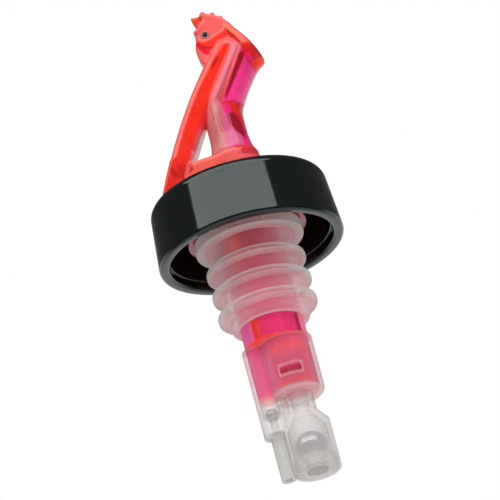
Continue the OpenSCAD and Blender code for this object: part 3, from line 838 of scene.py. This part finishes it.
def frosted_plastic():
    """Milky plastic, pinker near the stem, whose colour spreads in it as painted pink light, with a faint
    painted glow.
    """
    s = Shader("frosted_soft_plastic", IOR=1.4, Specular_IOR_Level=0.2, Emission_Strength=0.25)
    radius, grain = axis_distance(s), s.noise(220, 4)
    # painted pink light from the stem: pink on the sleeve and near it, grey further out
    near = s.mix(grain, rgb(200, 128, 138), rgb(210, 142, 151))
    far = s.mix(grain, rgb(178, 165, 164), rgb(193, 182, 181))
    sleeve = s.mix(grain, rgb(200, 160, 165), rgb(210, 174, 178))
    fin = s.step(radius, 9.6, 10.3)
    tone = s.mix(fin, sleeve, s.mix(s.step(radius, 9.4, 11.6), near, far))
    s.link(tone, "Base Color")
    s.link(tone, "Emission Color")
    s.link(s.spread(s.noise(600, 3), 0.45, 0.6), "Roughness")
    # the wall of the bore is left out, so that the wall's haze counts once
    up = s.normal()["Z"]
    flat = s.spread(s.times(up, up), 0, 1, 0.3, 0.6)
    outside = s.larger(flat, s.step(radius, 8.0, 8.4))
    rim = s.mix(flat, haze(s, 0.3, 0.92, 0.05, 0.5), grey(0.7))
    upper = s.step(s.place()["Z"], -19, -2)
    wall = s.mix(upper, haze(s, 0.25, 0.85, 0.03, 0.5), haze(s, 0.1, 0.7, 0.03, 0.5))
    s.link(s.times(outside, s.mix(fin, wall, rim)), "Alpha")
    s.bump(s.noise(240, 2), 0.00004, 0.4)
    return s.material


def clear_plastic():
    """Natural plastic: a painted pink tint from the ball tube's light above, pale below, paler still round
    the window.
    """
    s = Shader("clear_plastic", IOR=1.45, Specular_IOR_Level=0.5)
    place, normal, grain = s.place(), s.normal(), s.noise(180, 3)
    x, y, z = place["X"], place["Y"], place["Z"]

    def within(value, middle, half, soft=0.15):
        return s.times(s.step(value, middle - half, middle - half + soft),
                       s.step(value, middle + half, middle + half - soft))

    # painted pink light from the ball tube above the cage, plain pale below
    below = s.step(z, -38.6, -41.0)
    tone = s.mix(below, s.mix(grain, rgb(212, 128, 142), rgb(226, 148, 160)),
                 s.mix(grain, rgb(208, 202, 200), rgb(224, 219, 217)))
    veil = s.mix(below, haze(s, 0.1, 0.6), haze(s, 0.27, 0.68))
    # chamber's floor, milkier than its wall, painted pink by the tube's light
    floor_mask = s.times(s.spread(normal["Z"], 0, 1, -0.4, -0.7), s.step(z, -40.6, -40.3))
    tone = s.mix(floor_mask, tone, rgb(236, 178, 182))
    veil = s.mix(floor_mask, veil, grey(0.7))
    # web between the neck and the air socket
    web = s.times(s.spread(s.times(normal["Y"], normal["Y"]), 0, 1, 0.9, 0.96),
                  s.spread(s.times(y, y), 1, 0, (1.25 * MM) ** 2, (1.4 * MM) ** 2))
    veil = s.mix(s.times(web, below), veil, grey(0.5))
    # air tube and the socket's end, milkier than the socket
    tube = s.times(s.step(x, VENT_X + 2.0, VENT_X + 1.8), s.step(z, -46.5, -48.5))
    tone = s.mix(tube, tone, s.mix(grain, rgb(198, 197, 193), rgb(212, 210, 206)))
    veil = s.mix(tube, veil, haze(s, 0.62, 0.8))
    # wall of the hole in the cage's end, darker as painted shade in the hole
    hole = s.times(s.step(axis_distance(s, LIQUOR_X), 2.65, 2.55), s.step(z, -55.5, -56))
    tone = s.mix(hole, tone, rgb(190, 186, 178))
    veil = s.mix(hole, veil, grey(0.5))
    # raised frame of the window, on the near side only, with painted pale light on it
    window = s.times(s.times(within(x, LIQUOR_X, 3.0), within(z, WINDOW_Z, 1.5)), s.step(y, -2, -3))
    tone = s.mix(window, tone, rgb(230, 150, 166))
    veil = s.mix(window, veil, grey(0.55))
    s.link(tone, "Base Color")
    s.link(veil, "Alpha")
    s.link(s.spread(s.noise(800, 3), 0.24, 0.38), "Roughness")
    s.bump(s.noise(500, 2), 0.00002, 0.5)
    return s.material


def eye_rim():
    """Greyish plastic of the rings round the eyes, its grey a painted highlight caught by the raised rims."""
    s = Shader("eye_rim", IOR=1.49, Specular_IOR_Level=0.8)
    s.link(s.mix(s.noise(900, 3), rgb(116, 92, 90), rgb(160, 138, 135)), "Base Color")
    s.link(s.spread(s.noise(1500, 2), 0.1, 0.25), "Roughness")
    return s.material


def steel(name, dark, light, glow=0.0):
    """Polished steel with faint scratches round the upright axis."""
    s = Shader(name, Metallic=1.0, Emission_Strength=glow)
    tone = s.mix(s.noise(600, 4), rgb(*dark), rgb(*light))
    s.link(tone, "Base Color")
    s.link(tone, "Emission Color")
    scratches = s.node("Mapping", {"Vector": s.position(), "Scale": (1, 1, 9)}).outputs["Vector"]
    s.link(s.spread(s.noise(900, 5, 0.6, scratches), 0.08, 0.2), "Roughness")
    return s.material


def eye_black():
    """Gloss black."""
    s = Shader("eye_black", Specular_IOR_Level=0.5)
    s.link(s.mix(s.noise(900, 2), rgb(10, 9, 9), rgb(26, 22, 22)), "Base Color")
    s.link(s.spread(s.noise(1500, 2), 0.08, 0.2), "Roughness")
    return s.material


# Pieces

red, pink, black = red_plastic(), pink_plastic(), black_plastic()
frosted, clear = frosted_plastic(), clear_plastic()
metal = steel("steel", (160, 164, 170), (192, 194, 198))
# the shut-off ball sits in the pink tube and takes on its light: its pink tone and glow are painted
# reflection and light from the tube
warm_metal = steel("steel_in_pink_light", (150, 58, 78), (178, 80, 98), 0.5)
eye, ring = eye_black(), eye_rim()


def make_spout():
    """The upper moulding, from its distance field, with its paint."""
    points, quads = spout_mesh()
    mesh = bpy.data.meshes.new("spout_top")
    mesh.from_pydata(points * MM, [], quads.tolist())
    piece = finish_mesh("spout_moulding", mesh, red, "pourer", ["spout_top"], 70)
    mesh = piece.data
    place = np.empty(len(mesh.vertices) * 3)
    mesh.vertices.foreach_get("co", place)
    paint = paint_spout(place.reshape(-1, 3) / MM)
    layer = mesh.color_attributes.new("paint", "FLOAT_COLOR", "POINT")
    layer.data.foreach_set("color", paint.ravel().astype(np.float32))


def make_collar():
    """An inverted cup: bored top plate with a hub below, round shoulder, tapered wall with a step inside."""
    wall, draft, shoulder, plate, edge, corner = 2.6, 1.05, 2.6, 2.2, 0.85, 1.4
    step, step_h, step_r, hub = 0.3, 2.4, 0.15, 10.2
    bottom, inner, disc_top = collar_low[2], COLLAR_R - wall, stopper_high[2] + DISC_T
    flat = COLLAR_R - draft - shoulder
    profile = [(STEM_BORE_R, disc_top), (STEM_BORE_R, COLLAR_TOP)]
    profile += arc((flat, COLLAR_TOP - shoulder), shoulder, 90, 0, 24)
    profile += arc((COLLAR_R - edge, bottom + edge), edge, 0, -90, 12)
    profile += arc((inner + edge, bottom + edge), edge, -90, -180, 12)
    profile += arc((inner - step_r, bottom + step_h - step_r), step_r, 0, 90, 4)
    profile += arc((inner - step + step_r, bottom + step_h + step_r), step_r, 270, 180, 4)
    profile += arc((inner - step - corner, COLLAR_TOP - plate - corner), corner, 0, 90, 10)
    profile += [(hub, COLLAR_TOP - plate), (hub, disc_top)]
    lathe("collar_cup", profile, black, "collar")


def make_stopper():
    """A sleeve with three thinning fins and a flange on top."""
    sleeve, bottom, bottom_edge = 9.35, stopper_low[2], 0.8
    fin_r, rim_t, root_t, tip = 11.85, 1.4, 2.2, 0.32
    flange_r, flange_t, flange_edge = 12.9, stopper_high[2], 0.6
    # rounding at a fin's root: distance out from the sleeve, and away from the fin
    root = ((0, 0.5), (0.12, 0.15), (0.5, -0.1))
    profile = [(STEM_BORE_R, flange_t), (STEM_BORE_R, bottom)]
    profile += arc((sleeve - bottom_edge, bottom + bottom_edge), bottom_edge, -90, 0, 8)
    for level in FIN_LEVELS:
        profile += [(sleeve + out, level - root_t / 2 - away) for out, away in root]
        profile += arc((fin_r - tip, level - rim_t / 2 + tip), tip, -90, 0, 8)
        profile += arc((fin_r - tip, level + rim_t / 2 - tip), tip, 0, 90, 8)
        profile += [(sleeve + out, level + root_t / 2 + away) for out, away in reversed(root)]
    profile += [(sleeve, -0.4), (sleeve + 0.12, -0.12), (sleeve + 0.4, 0)]
    profile += arc((flange_r - flange_edge, flange_edge), flange_edge, -90, 0, 8)
    profile += arc((flange_r - flange_edge, flange_t - flange_edge), flange_edge, 0, 90, 8)
    lathe("stopper_sleeve", profile, frosted, "stopper")


def make_eye_rings(around=40, across=16):
    """A raised ring round each eye."""
    points, faces = [], []
    for side in (-1, 1):
        start = len(points)
        for i in range(around):
            a = 2 * math.pi * i / around
            for k in range(across):
                b = 2 * math.pi * k / across
                r = EYE_RING_R + EYE_RING_T / 2 * math.cos(b)
                points.append(((EYE[0] + r * math.cos(a)) * MM,
                               side * (HEAD_T / 2 + EYE_RING_T / 2 * math.sin(b)) * MM,
                               (EYE[1] + r * math.sin(a)) * MM))
                i2, k2 = (i + 1) % around, (k + 1) % across
                faces.append([start + p * across + q for p, q in ((i, k), (i2, k), (i2, k2), (i, k2))])
    mesh = bpy.data.meshes.new("eye_rings")
    mesh.from_pydata(points, [], faces)
    finish_mesh("eye_rings", mesh, ring, "pourer", [], 80)


make_spout()
make_collar()
make_stopper()
copied("lower_moulding", "stem", pink, "pourer")
copied("metering_chamber", "metering_housing", clear, "pourer")
copied("cage_ring", "cage_end_ring", clear, "pourer")
copied("eyes", "eye_beads", eye, "pourer", 80)
make_eye_rings()
copied("shutoff_steel_ball", "shutoff_ball", warm_metal, "shutoff", 80)
copied("check_steel_ball", "check_ball", metal, "check", 80)
copied("breather_steel_ball", "breather_ball", metal, "breather", 80)


# Studio, in metres: pale floor, white backdrop, a wide soft lamp in front, and a fill and a back lamp that
# polished surfaces don't show

AMBIENT = 0.3
GLOSSY_LOW = 0.1
LAMP_DISTANCE = 1.2


def studio_world():
    """White to the camera and through clear plastic, AMBIENT as light, bright to reflections behind only."""
    world = bpy.data.worlds.new("studio")
    scene.world = world
    n = Nodes(world)
    back = n.tree.nodes["Background"]
    back.inputs["Color"].default_value = (1, 1, 1, 1)
    ray = n.node("LightPath").outputs
    way = n.parts(n.node("TexCoord").outputs["Generated"])
    behind = n.times(n.spread(way["Y"], 0, 1, 0.1, 0.6, interpolation_type="SMOOTHSTEP"),
                     n.spread(way["Z"], 1, 0, 0.2, 0.5, interpolation_type="SMOOTHSTEP"))
    glossy = n.times(ray["Is Glossy Ray"], n.larger(behind, GLOSSY_LOW))
    seen = n.larger(ray["Is Camera Ray"], ray["Is Transmission Ray"])
    plain = n.times(n.math("SUBTRACT", 1.0, ray["Is Glossy Ray"]), AMBIENT)
    n.put(n.larger(n.larger(seen, glossy), plain), back.inputs["Strength"])


def soft_lamp(name, azimuth, elevation, size, radiance):
    """A rectangular lamp that faces the object. Azimuth 0 is in front, and left is negative."""
    data = bpy.data.lights.new(name, "AREA")
    data.shape = "RECTANGLE"
    data.size, data.size_y = size
    data.energy = radiance * math.pi * size[0] * size[1]
    lamp = bpy.data.objects.new(name, data)
    scene.collection.objects.link(lamp)
    a, e = math.radians(azimuth), math.radians(elevation)
    way = Vector((math.sin(a) * math.cos(e), -math.cos(a) * math.cos(e), math.sin(e)))
    lamp.location = way * LAMP_DISTANCE
    lamp.rotation_euler = way.to_track_quat("Z", "Y").to_euler()
    return lamp


def floor():
    """A round pale floor well below the object."""
    mesh = bpy.data.meshes.new("floor")
    radius, level, segments = 0.45, -0.32, 96
    turns = [2 * math.pi * i / segments for i in range(segments)]
    mesh.from_pydata([(radius * math.cos(t), radius * math.sin(t), level) for t in turns], [],
                     [tuple(range(segments))])
    s = Shader("floor", Roughness=0.6, Specular_IOR_Level=0.1)
    s.link(s.mix(s.noise(3, 2), grey(0.86), grey(0.9)), "Base Color")
    mesh.materials.append(s.material)
    piece = bpy.data.objects.new("floor", mesh)
    scene.collection.objects.link(piece)


def camera():
    """The photograph's view: from below the collar, the object leaning to the left in the frame."""
    elevation, roll, distance = math.radians(-23.5), math.radians(15), 4.0
    pixels_per_m, frame_px, sensor = 4286, 500, 36.0
    aim_height, aim_right, aim_down = 0.001, 0.000117, 0.001867
    look = Vector((0, math.cos(elevation), -math.sin(elevation)))
    level = Vector((1, 0, 0))
    upright = level.cross(look)
    right = level * math.cos(roll) - upright * math.sin(roll)
    up = level * math.sin(roll) + upright * math.cos(roll)
    data = bpy.data.cameras.new("camera")
    data.sensor_width = sensor
    data.lens = sensor * distance / (frame_px / pixels_per_m)
    data.clip_start, data.clip_end = 0.1, 30
    cam = bpy.data.objects.new("camera", data)
    scene.collection.objects.link(cam)
    place = Matrix((right, up, -look)).transposed().to_4x4()
    place.translation = Vector((0, 0, aim_height)) + right * aim_right - up * aim_down - look * distance
    cam.matrix_world = place
    scene.camera = cam


studio_world()
soft_lamp("key", -7.3, 53, (2.25, 1.0), 3.0)
soft_lamp("fill", 15, -12, (1.2, 1.0), 1.5).visible_glossy = False
soft_lamp("back", 170, 20, (1.6, 1.2), 1.1).visible_glossy = False
floor()
camera()
scene.view_settings.view_transform = "Standard"
